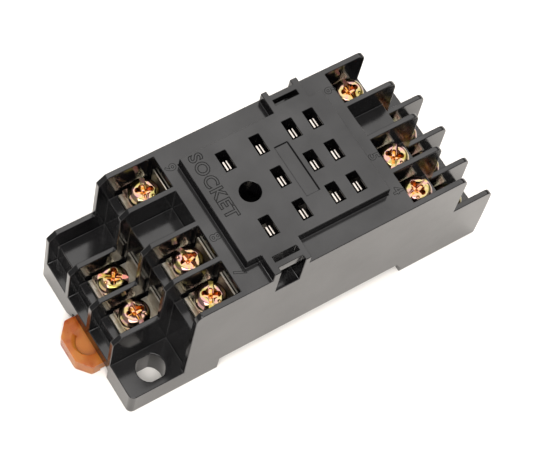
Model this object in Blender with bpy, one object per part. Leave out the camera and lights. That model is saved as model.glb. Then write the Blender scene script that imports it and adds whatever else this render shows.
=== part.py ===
"""Eleven-terminal relay socket for a 35 mm DIN rail, as separate pieces.

X runs along the socket, -Y is the near side and +Z is up. Lengths are metres, worked out from the
driving sizes below. A datum empty carries every piece, and places the socket with its sliding clip's
tab so that the whole object's box is centred on the origin and stands on Z = 0.
"""

import math

import bmesh
import bpy
from mathutils import Matrix, Vector

MM = 0.001

# Driving sizes of the housing
LENGTH = 71.5 * MM
WIDTH = 29.2 * MM
SEAT_TOP = 30.1 * MM
LEDGE_TOP = 28.0 * MM
FOOT_TOP = 6.1 * MM
FOOT_CORNER = 1.0 * MM
WALL = 1.2 * MM
FIN = 0.95 * MM
FIN_Y = (7.05 * MM, 0.0, -7.05 * MM)
GAP = 0.3 * MM
PAST = 1.0 * MM
TINY = 0.01 * MM

# The two terminal rows at each end, as distances from the middle; a dictionary gives left -1 and right 1
INNER_WALL_U = {-1: 17.0 * MM, 1: 16.5 * MM}
INNER_FRONT_U = 24.87 * MM
OUTER_FRONT_U = 33.67 * MM
INNER_DECK = 20.0 * MM
ROW_DROP = 11.0 * MM
BLANK_RISE = 2.1 * MM
OUTER_FIN_TOP = {-1: 15.8 * MM, 1: 16.2 * MM}
FIN_STEP_U = 27.1 * MM
FIN_TIP_U = 26.6 * MM
OUTER_TIP_LEAN = 0.35 * MM
TIP_CHAMFER = 1.5 * MM
TIP_RADIUS = 1.6 * MM
NEAR_WALL_END_U = 25.6 * MM
WALL_END_RADIUS = 1.4 * MM

# Relay seat
SEAT_X = (-14.2 * MM, 13.5 * MM)
SEAT_HALF_Y = 10.5 * MM
SEAT_UNDERSIDE = 26.6 * MM
SLOT_X = 1.92 * MM
SLOT_Y = 3.68 * MM
COIL_X = -7.71 * MM
COMMON_X = -1.28 * MM
OPEN_X = 5.09 * MM
CLOSED_X = 9.23 * MM
PIN_Y = 6.65 * MM
GUIDE_X = -7.1 * MM
GUIDE_RADIUS = 1.85 * MM
PANEL_X = (0.65 * MM, 3.15 * MM)
PANEL_HALF_Y = 5.0 * MM
PANEL_DEPTH = 0.35 * MM

# Retaining-clip towers, given for the near one; the far one is this one turned half round about TURN_X
TOWER_X = (-11.5 * MM, -4.5 * MM)
TOWER_SLOT_X = (-10.2 * MM, -5.6 * MM)
TOWER_SLOT_Y = (-12.6 * MM, -11.6 * MM)
TOWER_BAR_Y = -13.65 * MM
TOWER_BAR_BOTTOM = 28.1 * MM
TOWER_FLOOR = 22.7 * MM
FAR_TOWER_FLOOR = 25.0 * MM
TURN_X = -0.27 * MM

# Rail recess, mounting feet and the opening for the sliding clip
RAIL_X = (-18.3 * MM, 18.0 * MM)
RAIL_DEPTH = 3.8 * MM
RAIL_FLARE = 1.3 * MM
RAIL_FLARE_DROP = 2.3 * MM
HOLE_U = 30.0 * MM
HOLE_V = 11.1 * MM
HOLE_RADIUS = 2.55 * MM
HOLE_FLAT = 2.25 * MM
PORT_Y = (-7.1 * MM, 4.65 * MM)
PORT_TOP = 3.4 * MM
PORT_CORNER = 0.5 * MM
PORT_FLARE_Y = 6.4 * MM
PORT_FLARE_TOP = 1.5 * MM

# Base plate
BASE_HALF_X = 23.4 * MM
BASE_HALF_Y = 13.1 * MM
BASE_TOP = 5.4 * MM
BASE_FOOT = 0.2 * MM
RAIL_SEAT_X = (-16.2 * MM, 16.5 * MM)
RAIL_SEAT_RELIEF = 0.3 * MM
CHANNEL_HALF_Y = 5.15 * MM
CHANNEL_LIP_Y = 4.0 * MM
CHANNEL_LIP_TOP = 0.45 * MM
HOOK_X = 16.7 * MM
HOOK_Z = (0.5 * MM, 2.4 * MM)
HOOK_NOSE = 0.6 * MM
HOOK_SLOPE = 0.9 * MM
HOOK_GAPS_Y = ((-15 * MM, -9 * MM), (-3 * MM, 3 * MM), (9 * MM, 15 * MM))

# Sliding clip, about its own centre line
CLIP_LINE_Y = -0.7 * MM
TAB_REACH = 3.85 * MM
TAB_HALF_Y = 4.85 * MM
TAB_NOSE_HALF_Y = 2.5 * MM
TAB_NOSE = 2.0 * MM
TAB_RADIUS = 0.7 * MM
TAB_Z = (0.15 * MM, 3.2 * MM)
SLIDER_Z = (0.7 * MM, 3.1 * MM)
BODY_HALF_Y = 4.8 * MM
NECK_HALF_Y = 3.5 * MM
ARM_ROOT_X = -31.5 * MM
ARM_TIP_X = -25.8 * MM
ARM_THICK = 0.7 * MM
ARM_TIP_HALF_Y = 5.65 * MM
ARM_TIP_LENGTH = 0.8 * MM
NECK_END_X = -24.8 * MM
SHOULDER_X = -19.0 * MM
SLIDER_HOOK_X = -16.5 * MM
SLIDER_HOOK_HALF_Y = 4.3 * MM
SLIDER_HOOK_TOP = 2.5 * MM
SLIDER_HOOK_ROOT_X = -18.4 * MM
SLIDER_HOOK_SLOPE = 1.6 * MM

# Terminal metalwork
SCREW_INNER_U = 20.2 * MM
SCREW_OUTER_U = 29.2 * MM
STRAP_THICK = 0.7 * MM
STRAP_LIFT = 0.2 * MM
STRAP_FOOT = 1.0 * MM
TAB_HALF_WIDTH = 2.6 * MM
BAR_HALF_WIDTH = 1.4 * MM
TAB_FRONT = 3.1 * MM
EAR_THICK = 0.3 * MM
EAR_OFF = 0.1 * MM
EAR_RISE = 4.6 * MM
EAR_HALF_WIDTH = 2.2 * MM
WASHER_X = 5.0 * MM
WASHER_Y = 5.6 * MM
WASHER_THICK = 0.7 * MM
WASHER_CORNER = 0.5 * MM
SCREW_HOLE_RADIUS = 1.75 * MM
SHANK_RADIUS = 1.45 * MM
SHANK_LENGTH = 6.0 * MM
HEAD_RADIUS = 2.65 * MM
HEAD_HEIGHT = 2.7 * MM
HEAD_SKIRT = 0.9 * MM
HEAD_SHOULDER = 1.96 * MM
HEAD_DOME = 0.35 * MM
SHANK_TIP = 0.4 * MM
RECESS_DEPTH = 1.5 * MM
RECESS_HALF = 1.6 * MM
RECESS_ARM = 0.42 * MM
RECESS_TAPER = 0.5
DRIVE_SLOT_HALF = 0.38 * MM
DRIVE_SLOT_DEPTH = 0.8 * MM

# Contact clips
CLIP_THICK = 0.3 * MM
CLIP_HALF_WIDTH = 1.3 * MM
CLIP_TOP = 29.1 * MM
CLIP_PINCH = 1.2 * MM
CLIP_STEM = 1.6 * MM
CLIP_FOOT_X = 0.85 * MM
CLIP_PINCH_X = 0.28 * MM
CLIP_MOUTH_X = 0.5 * MM

ROUND_STEPS = 16
HOLE_STEPS = 16

HALF_LENGTH = LENGTH / 2
HALF_WIDTH = WIDTH / 2
WALL_INNER_Y = HALF_WIDTH - 1.0 * MM
CAVITY_HALF_Y = HALF_WIDTH - WALL
OUTER_DECK = INNER_DECK - ROW_DROP
DATUM_X = TAB_REACH / 2
STRAP_BOTTOM = STRAP_LIFT
WASHER_BOTTOM = STRAP_BOTTOM + STRAP_THICK + STRAP_LIFT
HEAD_BOTTOM = WASHER_BOTTOM + WASHER_THICK + STRAP_LIFT

# Bay columns from the far wall to the near wall, as (low Y, high Y)
COLUMNS = (
    (FIN_Y[0] + FIN / 2, WALL_INNER_Y),
    (FIN_Y[1] + FIN / 2, FIN_Y[0] - FIN / 2),
    (FIN_Y[2] + FIN / 2, FIN_Y[1] - FIN / 2),
    (-WALL_INNER_Y, FIN_Y[2] - FIN / 2),
)

# What stands in each column, as (inner row, outer row)
BOTH = ("terminal", "terminal")
LEFT_BAYS = (("terminal", "blank"), ("blank", "terminal"), BOTH, ("terminal", "foot"))
RIGHT_BAYS = (("terminal", "foot"), ("blank", "terminal"), BOTH, BOTH)

# Terminal number: (end, row, column, pin X, pin Y)
TERMINALS = {
    1: (1, "outer", 3, CLOSED_X, -PIN_Y),
    2: (1, "outer", 2, CLOSED_X, 0.0),
    3: (1, "outer", 1, CLOSED_X, PIN_Y),
    4: (1, "inner", 3, OPEN_X, -PIN_Y),
    5: (1, "inner", 2, OPEN_X, 0.0),
    6: (1, "inner", 0, OPEN_X, PIN_Y),
    7: (-1, "inner", 3, COMMON_X, -PIN_Y),
    8: (-1, "inner", 2, COMMON_X, 0.0),
    9: (-1, "inner", 0, COMMON_X, PIN_Y),
    10: (-1, "outer", 2, COIL_X, -PIN_Y),
    11: (-1, "outer", 1, COIL_X, PIN_Y),
}


def clear_scene():
    for item in list(bpy.data.objects):
        bpy.data.objects.remove(item, do_unlink=True)


def make_material(name, colour, roughness, metallic):
    made = bpy.data.materials.new(name)
    made.use_nodes = True
    shader = made.node_tree.nodes["Principled BSDF"]
    shader.inputs["Base Color"].default_value = (*colour, 1.0)
    shader.inputs["Roughness"].default_value = roughness
    shader.inputs["Metallic"].default_value = metallic
    made.diffuse_color = (*colour, 1.0)
    return made


def make_datum():
    datum = bpy.data.objects.new("socket_datum", None)
    datum.location = (DATUM_X, 0, 0)
    bpy.context.scene.collection.objects.link(datum)
    return datum


def make_object(name, mesh_data, finish=None, place=(0, 0, 0)):
    """Turns a bmesh into an object under the datum; place is in the socket's own coordinates."""
    bmesh.ops.recalc_face_normals(mesh_data, faces=mesh_data.faces)
    mesh = bpy.data.meshes.new(name)
    mesh_data.to_mesh(mesh)
    mesh_data.free()
    made = bpy.data.objects.new(name, mesh)
    made.location = place
    made.parent = bpy.data.objects["socket_datum"]
    bpy.context.scene.collection.objects.link(made)
    if finish is not None:
        mesh.materials.append(finish)
    return made


def add_box(mesh_data, low, high):
    size = [top - bottom for bottom, top in zip(low, high)]
    middle = [(top + bottom) / 2 for bottom, top in zip(low, high)]
    place = Matrix.Translation(middle) @ Matrix.Diagonal((*size, 1))
    bmesh.ops.create_cube(mesh_data, size=1, matrix=place)


def add_prism(mesh_data, outline, axis, low, high):
    """Extrudes an outline along an axis. Its points are (X, Y), (X, Z) or (Y, Z), in that order."""

    def point(pair, along):
        return {"X": (along, *pair), "Y": (pair[0], along, pair[1]), "Z": (*pair, along)}[axis]

    corners = [mesh_data.verts.new(point(pair, low)) for pair in outline]
    face = mesh_data.faces.new(corners)
    grown = bmesh.ops.extrude_face_region(mesh_data, geom=[face])["geom"]
    step = Vector(point((0, 0), high - low))
    verts = [item for item in grown if isinstance(item, bmesh.types.BMVert)]
    bmesh.ops.translate(mesh_data, vec=step, verts=verts)


def toward(corner, other, distance):
    """The point this far from a corner of an outline, on the way to another point."""
    run = [there - here for here, there in zip(corner, other)]
    return tuple(here + part * distance / math.hypot(*run) for here, part in zip(corner, run))


def fillet(before, corner, after, radius, steps=4):
    """Points of the arc that rounds one corner of an outline."""
    arms = [Vector(other) - Vector(corner) for other in (before, after)]
    half = arms[0].angle(arms[1]) / 2
    start, end = (toward(corner, other, radius / math.tan(half)) for other in (before, after))
    middle = [(low + high) / 2 for low, high in zip(start, end)]
    centre = toward(corner, middle, radius / math.sin(half))
    first, last = (math.atan2(point[1] - centre[1], point[0] - centre[0]) for point in (start, end))
    turn = (last - first + math.pi) % math.tau - math.pi
    angles = [first + turn * step / steps for step in range(1, steps)]
    arc = [(centre[0] + radius * math.cos(angle), centre[1] + radius * math.sin(angle)) for angle in angles]
    return [start, *arc, end]


def add_cylinder(mesh_data, centre, radius, low, high, steps=HOLE_STEPS):
    place = Matrix.Translation((centre[0], centre[1], (low + high) / 2))
    bmesh.ops.create_cone(mesh_data, cap_ends=True, segments=steps, radius1=radius, radius2=radius,
                          depth=high - low, matrix=place)


def add_turned(mesh_data, profile, steps=ROUND_STEPS):
    """Turns a profile of (radius, Z) points, whose first and last lie on the axis, about Z."""
    points = [mesh_data.verts.new((radius, 0, height)) for radius, height in profile]
    edges = [mesh_data.edges.new(pair) for pair in zip(points, points[1:])]
    bmesh.ops.spin(mesh_data, geom=points + edges, cent=(0, 0, 0), axis=(0, 0, 1), angle=math.tau,
                   steps=steps, use_merge=True)
    bmesh.ops.remove_doubles(mesh_data, verts=mesh_data.verts, dist=1e-7)


def make_cutter(name, fill):
    """Makes a hidden helper from a function that fills a bmesh."""
    mesh_data = bmesh.new()
    fill(mesh_data)
    made = make_object(name, mesh_data)
    made.hide_render = True
    made.display_type = "WIRE"
    return made


def combine(target, other, operation):
    modifier = target.modifiers.new(other.name, "BOOLEAN")
    modifier.operation = operation
    modifier.solver = "EXACT"
    modifier.object = other


def turned_half(pair):
    """The X range that a range of the near tower has after half a turn."""
    return (2 * TURN_X - pair[1], 2 * TURN_X - pair[0])


def floor_height(kind, row):
    deck = INNER_DECK if row == "inner" else OUTER_DECK
    return {"terminal": deck, "blank": deck + BLANK_RISE, "foot": FOOT_TOP}[kind]


def bay_outline(end, bays):
    """Side outline of everything cut out of one column, from the inner wall to past the end."""
    top = SEAT_TOP + PAST
    inner = floor_height(bays[0], "inner")
    outer = floor_height(bays[1], "outer")
    past_end = HALF_LENGTH + PAST
    wall = INNER_WALL_U[end]
    steps = [(wall, top), (wall, inner), (INNER_FRONT_U, inner), (INNER_FRONT_U, outer)]
    if bays[1] != "foot":
        steps += [(OUTER_FRONT_U, outer), (OUTER_FRONT_U, FOOT_TOP)]
    steps += [(past_end, FOOT_TOP), (past_end, top)]
    return [(end * reach, height) for reach, height in steps]


def cut_bays(mesh_data):
    for end, layout in ((-1, LEFT_BAYS), (1, RIGHT_BAYS)):
        for (low, high), bays in zip(COLUMNS, layout):
            add_prism(mesh_data, bay_outline(end, bays), "Y", low, high)


def cut_foot_walls(mesh_data):
    """Takes the side wall away over each mounting foot, and rounds the wall's end."""
    reach = HALF_LENGTH + PAST
    top = SEAT_TOP + PAST
    for end, wall_end, side in ((-1, NEAR_WALL_END_U, -1), (1, INNER_FRONT_U, 1)):
        foot, tip, past_tip = (wall_end, FOOT_TOP), (wall_end, LEDGE_TOP), (wall_end - PAST, LEDGE_TOP)
        arc = fillet(foot, tip, past_tip, WALL_END_RADIUS)
        outline = [(reach, FOOT_TOP), foot, *arc, (arc[-1][0], top), (reach, top)]
        low, high = sorted((side * (WALL_INNER_Y - PAST), side * (HALF_WIDTH + PAST)))
        add_prism(mesh_data, [(end * x, z) for x, z in outline], "Y", low, high)


def cut_fin_tips(mesh_data):
    """Leans the ends of the right inner fins back, and rounds their tips."""
    low = (FIN_STEP_U, OUTER_FIN_TOP[1] + PAST)
    tip, past_tip = (FIN_TIP_U, LEDGE_TOP), (FIN_TIP_U - PAST, LEDGE_TOP)
    arc = fillet(low, tip, past_tip, TIP_RADIUS)
    top = LEDGE_TOP + PAST
    outline = [(FIN_STEP_U + PAST, low[1]), low, *arc, (arc[-1][0], top), (FIN_STEP_U + PAST, top)]
    add_prism(mesh_data, outline, "Y", -WALL_INNER_Y, WALL_INNER_Y)


def cut_foot_corners(mesh_data):
    """Rounds the outer corner of each mounting foot."""
    for end in (-1, 1):
        along, corner, across = (0, HALF_WIDTH), (HALF_LENGTH, HALF_WIDTH), (HALF_LENGTH, 0)
        arc = fillet(along, corner, across, FOOT_CORNER)
        outline = [*arc, (HALF_LENGTH + PAST, arc[-1][1]), (HALF_LENGTH + PAST, HALF_WIDTH + PAST)]
        outline.append((arc[0][0], HALF_WIDTH + PAST))
        add_prism(mesh_data, [(end * x, end * y) for x, y in outline], "Z", -PAST, FOOT_TOP + PAST)


def cut_middle(mesh_data):
    """The hollow under the inner decks."""
    reach = INNER_FRONT_U - WALL
    add_box(mesh_data, (-reach, -CAVITY_HALF_Y, -PAST), (reach, CAVITY_HALF_Y, INNER_DECK - WALL - GAP))


def cut_under_seat(mesh_data):
    """The hollow that holds the contact clips, narrower where the towers stand."""
    wide = CAVITY_HALF_Y - GAP
    narrow = SEAT_HALF_Y + GAP / 3
    shoulder = TOWER_FLOOR - WALL
    low = INNER_DECK - 2 * WALL
    outline = [(-wide, low), (-wide, shoulder), (-narrow, shoulder), (-narrow, SEAT_UNDERSIDE)]
    outline += [(-y, height) for y, height in reversed(outline)]
    add_prism(mesh_data, outline, "X", WALL - INNER_WALL_U[-1], INNER_WALL_U[1] - WALL)


def cut_under_outer_decks(mesh_data):
    """The hollows under the outer decks, beside each mounting foot."""
    near = FIN_Y[2] + FIN / 2
    for end, low, high in ((-1, near, CAVITY_HALF_Y - GAP), (1, -CAVITY_HALF_Y + GAP, -near)):
        steps = [(INNER_FRONT_U - 2 * WALL, -PAST), (HALF_LENGTH - WALL, -PAST)]
        steps += [(HALF_LENGTH - WALL, FOOT_TOP - WALL), (OUTER_FRONT_U - WALL, FOOT_TOP - WALL)]
        steps += [(OUTER_FRONT_U - WALL, OUTER_DECK - WALL), (INNER_FRONT_U - 2 * WALL, OUTER_DECK - WALL)]
        add_prism(mesh_data, [(end * reach, height) for reach, height in steps], "Y", low, high)


def cut_rail(mesh_data):
    """The rail recess across the side walls; its right end flares towards its mouth."""
    left, right = RAIL_X
    flare = right + RAIL_FLARE
    outline = [(left, -PAST), (left, RAIL_DEPTH), (right, RAIL_DEPTH)]
    outline += [(flare, RAIL_DEPTH - RAIL_FLARE_DROP), (flare, -PAST)]
    add_prism(mesh_data, outline, "Y", -HALF_WIDTH - PAST, HALF_WIDTH + PAST)


def cut_port(mesh_data):
    """The opening in the left end wall for the sliding clip, with a flared foot on its far side."""
    near, far = PORT_Y
    outline = [(near, -PAST), (near, PORT_TOP - PORT_CORNER), (near + PORT_CORNER, PORT_TOP)]
    outline += [(far - PORT_CORNER, PORT_TOP), (far, PORT_TOP - PORT_CORNER), (far, PORT_FLARE_TOP)]
    outline += [(PORT_FLARE_Y, 0), (PORT_FLARE_Y, -PAST)]
    add_prism(mesh_data, outline, "X", -HALF_LENGTH - PAST, -HALF_LENGTH + WALL + PAST)


def cut_pin_slots(mesh_data):
    for _, _, _, x, y in TERMINALS.values():
        low = (x - SLOT_X / 2, y - SLOT_Y / 2, SEAT_UNDERSIDE - PAST)
        high = (x + SLOT_X / 2, y + SLOT_Y / 2, SEAT_TOP + PAST)
        add_box(mesh_data, low, high)
    add_cylinder(mesh_data, (GUIDE_X, 0), GUIDE_RADIUS, SEAT_UNDERSIDE - PAST, SEAT_TOP + PAST, 24)
    low = (PANEL_X[0], -PANEL_HALF_Y, SEAT_TOP - PANEL_DEPTH)
    add_box(mesh_data, low, (PANEL_X[1], PANEL_HALF_Y, SEAT_TOP + PAST))


def cut_terminal_holes(mesh_data):
    """A screw hole through each deck, and a slot through the wall behind it for the strap."""
    for number in TERMINALS:
        x, y, deck = terminal_place(number)
        end, row = TERMINALS[number][:2]
        add_cylinder(mesh_data, (x, y), SCREW_HOLE_RADIUS, deck - WALL - PAST, deck + PAST)
        wall = INNER_WALL_U[end] if row == "inner" else INNER_FRONT_U
        across = sorted((end * (wall - WALL - GAP), end * (wall + PAST / 2)))
        half = BAR_HALF_WIDTH + GAP
        top = deck + STRAP_BOTTOM + STRAP_THICK + GAP
        add_box(mesh_data, (across[0], y - half, deck - STRAP_LIFT), (across[1], y + half, top))


def tower_range(side):
    return TOWER_X if side < 0 else turned_half(TOWER_X)


def cut_towers(mesh_data):
    """The clip slot, its bar's window and the pocket below, in each tower."""
    outside = HALF_WIDTH + PAST
    top = SEAT_TOP + PAST
    for side in (-1, 1):
        slot = [-reach for reach in TOWER_SLOT_Y]
        floor = TOWER_FLOOR if side < 0 else FAR_TOWER_FLOOR
        steps = [(outside, floor), (slot[1], floor), (slot[1], top), (slot[0], top)]
        steps += [(slot[0], TOWER_BAR_BOTTOM), (-TOWER_BAR_Y, TOWER_BAR_BOTTOM)]
        steps += [(-TOWER_BAR_Y, top), (outside, top)]
        low, high = TOWER_SLOT_X if side < 0 else turned_half(TOWER_SLOT_X)
        add_prism(mesh_data, [(side * reach, height) for reach, height in steps], "X", low, high)


def mounting_hole_outline(centre):
    """A circle with a flat on its near and far sides."""
    half_angle = math.acos(HOLE_FLAT / HOLE_RADIUS)
    outline = []
    for middle in (0, math.pi):
        reach = math.pi / 2 - half_angle
        for step in range(9):
            angle = middle - reach + 2 * reach * step / 8
            across, along = HOLE_RADIUS * math.cos(angle), HOLE_RADIUS * math.sin(angle)
            outline.append((centre[0] + across, centre[1] + along))
    return outline


def cut_mounting_holes(mesh_data):
    for end in (-1, 1):
        outline = mounting_hole_outline((end * HOLE_U, end * HOLE_V))
        add_prism(mesh_data, outline, "Z", -PAST, FOOT_TOP + PAST)


def side_outline():
    """The housing's side outline: stepped ends, with cut tips on the left and rounded ones on the right."""
    top = OUTER_FIN_TOP[1]
    foot, tip, step = (HALF_LENGTH, FOOT_TOP), (HALF_LENGTH - OUTER_TIP_LEAN, top), (FIN_STEP_U, top)
    right = [(HALF_LENGTH, 0), foot, *fillet(foot, tip, step, TIP_RADIUS), step]
    right += fillet(step, (FIN_STEP_U, LEDGE_TOP), (0, LEDGE_TOP), TIP_RADIUS)
    top = OUTER_FIN_TOP[-1]
    left = [(-FIN_STEP_U + TIP_CHAMFER, LEDGE_TOP), (-FIN_STEP_U, LEDGE_TOP - TIP_CHAMFER)]
    left += [(-FIN_STEP_U, top), (-HALF_LENGTH + TIP_CHAMFER, top)]
    left += [(-HALF_LENGTH, top - TIP_CHAMFER), (-HALF_LENGTH, 0)]
    return right + left


def build_housing(finish):
    mesh_data = bmesh.new()
    add_prism(mesh_data, side_outline(), "Y", -HALF_WIDTH, HALF_WIDTH)
    housing = make_object("housing", mesh_data, finish)

    def add_seat(mesh_data):
        low = (SEAT_X[0], -SEAT_HALF_Y, LEDGE_TOP - PAST)
        add_box(mesh_data, low, (SEAT_X[1], SEAT_HALF_Y, SEAT_TOP))

    def add_towers(mesh_data):
        for side in (-1, 1):
            ends = sorted((side * (SEAT_HALF_Y - PAST), side * HALF_WIDTH))
            low, high = tower_range(side)
            add_box(mesh_data, (low, ends[0], LEDGE_TOP - 2 * PAST), (high, ends[1], SEAT_TOP))

    for name, fill in (("seat", add_seat), ("towers", add_towers)):
        combine(housing, make_cutter("add_" + name, fill), "UNION")
    cuts = (cut_bays, cut_foot_walls, cut_fin_tips, cut_foot_corners, cut_middle, cut_under_seat,
            cut_under_outer_decks, cut_rail, cut_port, cut_pin_slots, cut_terminal_holes, cut_towers,
            cut_mounting_holes)
    for fill in cuts:
        combine(housing, make_cutter(fill.__name__, fill), "DIFFERENCE")
    return housing


def build_base_plate(finish):
    """The plate that closes the housing from below: rail seat, clip channel and two fixed rail hooks."""
    mesh_data = bmesh.new()
    seat = RAIL_DEPTH
    left = RAIL_X[0] - GAP
    right = RAIL_X[1] + GAP
    relief = seat + RAIL_SEAT_RELIEF
    outline = [(-BASE_HALF_X, BASE_FOOT), (left, BASE_FOOT), (left, relief), (RAIL_SEAT_X[0], relief)]
    outline += [(RAIL_SEAT_X[0], seat), (RAIL_SEAT_X[1], seat), (RAIL_SEAT_X[1], relief), (right, relief)]
    outline.append((right, HOOK_Z[1]))
    outline += [(HOOK_X, HOOK_Z[1]), (HOOK_X, HOOK_Z[0] + HOOK_NOSE), (HOOK_X + HOOK_SLOPE, HOOK_Z[0])]
    outline += [(right + 2 * PAST, BASE_FOOT), (BASE_HALF_X, BASE_FOOT), (BASE_HALF_X, BASE_TOP)]
    outline.append((-BASE_HALF_X, BASE_TOP))
    add_prism(mesh_data, outline, "Y", -BASE_HALF_Y, BASE_HALF_Y)
    plate = make_object("base_plate", mesh_data, finish)

    def cut_channel(mesh_data):
        """The clip's channel, with a lip along each lower edge to carry the clip."""
        side = [(-CHANNEL_LIP_Y, -PAST), (-CHANNEL_LIP_Y, CHANNEL_LIP_TOP)]
        side += [(-CHANNEL_HALF_Y, CHANNEL_LIP_TOP), (-CHANNEL_HALF_Y, PORT_TOP)]
        side += [(-y, height) for y, height in reversed(side)]
        outline = [(y + CLIP_LINE_Y, height) for y, height in side]
        add_prism(mesh_data, outline, "X", -BASE_HALF_X - PAST, left + PAST / 2)

    def cut_hook_gaps(mesh_data):
        """Leaves two hooks, clear of the side walls and of the middle."""
        for low, high in HOOK_GAPS_Y:
            add_box(mesh_data, (HOOK_X - PAST, low, -PAST), (right + GAP / 3, high, HOOK_Z[1] + PAST / 2))

    for fill in (cut_channel, cut_hook_gaps):
        combine(plate, make_cutter(fill.__name__, fill), "DIFFERENCE")
    return plate


def build_slider(finish):
    """The sliding rail clip: tab outside, body with two spring arms, and the hook for the rail's lip."""
    root = ARM_ROOT_X - ARM_TIP_LENGTH
    half = [(-HALF_LENGTH - PAST, BODY_HALF_Y), (root, BODY_HALF_Y)]
    half += [(ARM_TIP_X - ARM_TIP_LENGTH, ARM_TIP_HALF_Y), (ARM_TIP_X, ARM_TIP_HALF_Y)]
    half.append((ARM_TIP_X, ARM_TIP_HALF_Y - ARM_THICK))
    half += [(ARM_ROOT_X, BODY_HALF_Y - ARM_THICK), (ARM_ROOT_X, NECK_HALF_Y), (NECK_END_X, NECK_HALF_Y)]
    half += [(NECK_END_X, BODY_HALF_Y), (SHOULDER_X, BODY_HALF_Y), (SHOULDER_X, SLIDER_HOOK_HALF_Y)]
    half.append((SLIDER_HOOK_X, SLIDER_HOOK_HALF_Y))
    outline = half + [(x, -y) for x, y in reversed(half)]
    mesh_data = bmesh.new()
    add_prism(mesh_data, outline, "Z", *SLIDER_Z)
    slider = make_object("din_lock_slider", mesh_data, finish, (0, CLIP_LINE_Y, 0))

    def add_tab(mesh_data):
        tab_end = -HALF_LENGTH - TAB_REACH
        inner = -HALF_LENGTH - GAP
        corners = [(tab_end, TAB_NOSE_HALF_Y), (tab_end + TAB_NOSE, TAB_HALF_Y), (inner, TAB_HALF_Y)]
        nose = fillet((tab_end, 0), *corners[:2], TAB_RADIUS) + fillet(*corners, TAB_RADIUS) + corners[2:]
        outline = nose + [(x, -y) for x, y in reversed(nose)]
        outline = [(x, y + CLIP_LINE_Y) for x, y in outline]
        add_prism(mesh_data, outline, "Z", *TAB_Z)

    def cut_hook_slope(mesh_data):
        """Slopes the hook's underside, so that it rides over the rail's lip."""
        tip = SLIDER_HOOK_X + PAST
        bottom = SLIDER_Z[0] - PAST
        outline = [(SLIDER_HOOK_ROOT_X, bottom), (tip, bottom), (tip, SLIDER_Z[0] + SLIDER_HOOK_SLOPE)]
        add_prism(mesh_data, outline, "Y", -HALF_WIDTH / 2, HALF_WIDTH / 2)

    def cut_hook_top(mesh_data):
        """Leaves the rail's lip its room over the hook."""
        low = (SLIDER_HOOK_ROOT_X, -HALF_WIDTH / 2, SLIDER_HOOK_TOP)
        add_box(mesh_data, low, (SLIDER_HOOK_X + PAST, HALF_WIDTH / 2, SLIDER_Z[1] + PAST))

    combine(slider, make_cutter("add_tab", add_tab), "UNION")
    for fill in (cut_hook_slope, cut_hook_top):
        combine(slider, make_cutter(fill.__name__, fill), "DIFFERENCE")
    return slider


def terminal_place(number):
    """The screw's X and Y, and the height of the deck that the terminal stands on."""
    end, row, column, _, _ = TERMINALS[number]
    low, high = COLUMNS[column]
    reach = SCREW_INNER_U if row == "inner" else SCREW_OUTER_U
    return end * reach, (low + high) / 2, INNER_DECK if row == "inner" else OUTER_DECK


def build_strap(number, finish):
    """A strap from the deck, through the wall, to the foot of its contact clip."""
    end, row, _, pin_x, pin_y = TERMINALS[number]
    x, y, deck = terminal_place(number)
    wall = (INNER_WALL_U[end] if row == "inner" else INNER_FRONT_U) + EAR_OFF
    front = abs(x) + TAB_FRONT
    pin = abs(pin_x)
    to_pin = 1 if pin_y > y else -1
    foot = STRAP_FOOT
    wide, narrow, clip = to_pin * TAB_HALF_WIDTH, to_pin * BAR_HALF_WIDTH, to_pin * CLIP_HALF_WIDTH
    outline = [(front, y - wide), (front, y + wide), (wall, y + wide), (wall, y + narrow)]
    outline += [(pin + foot, y + narrow), (pin + foot, pin_y + clip)]
    outline += [(pin - foot, pin_y + clip), (pin - foot, y - narrow)]
    outline += [(wall, y - narrow), (wall, y - wide)]
    bottom = deck + STRAP_BOTTOM
    top = bottom + STRAP_THICK
    mesh_data = bmesh.new()
    add_prism(mesh_data, [(end * reach, across) for reach, across in outline], "Z", bottom, top)
    name = f"terminal_strap_{number:02d}"
    strap = make_object(name, mesh_data, finish)

    def add_upright(mesh_data):
        """The ear against the wall and, on an outer strap, the riser up to its clip."""
        ear = sorted((end * wall, end * (wall + EAR_THICK)))
        middle = (bottom + top) / 2
        low = (ear[0] + TINY, y - EAR_HALF_WIDTH, middle)
        add_box(mesh_data, low, (ear[1] - TINY, y + EAR_HALF_WIDTH, top + EAR_RISE))
        if row == "outer":
            high = INNER_DECK + STRAP_BOTTOM + STRAP_THICK
            half = CLIP_HALF_WIDTH - TINY
            across = STRAP_THICK / 2
            add_box(mesh_data, (pin_x - across, pin_y - half, middle), (pin_x + across, pin_y + half, high))

    def cut_thread(mesh_data):
        add_cylinder(mesh_data, (x, y), SCREW_HOLE_RADIUS, bottom - PAST, top + PAST / 2)

    combine(strap, make_cutter("add_upright_" + name, add_upright), "UNION")
    combine(strap, make_cutter("cut_thread_" + name, cut_thread), "DIFFERENCE")
    return strap


def clip_outline():
    """Outline of the U-shaped clip, in X and Z about its pin: two leaves pinch, then open."""
    foot = INNER_DECK + STRAP_BOTTOM + STRAP_THICK + GAP
    leaf = [(CLIP_FOOT_X, foot), (CLIP_FOOT_X, foot + CLIP_STEM)]
    leaf += [(CLIP_PINCH_X, CLIP_TOP - CLIP_PINCH), (CLIP_MOUTH_X, CLIP_TOP)]
    outer = [(x + CLIP_THICK / 2, z) for x, z in leaf]
    inner = [(x - CLIP_THICK / 2, z) for x, z in leaf]
    inner[0] = (inner[0][0], foot + CLIP_THICK)
    right = outer + list(reversed(inner))
    return right + [(-x, z) for x, z in reversed(right)]


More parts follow.
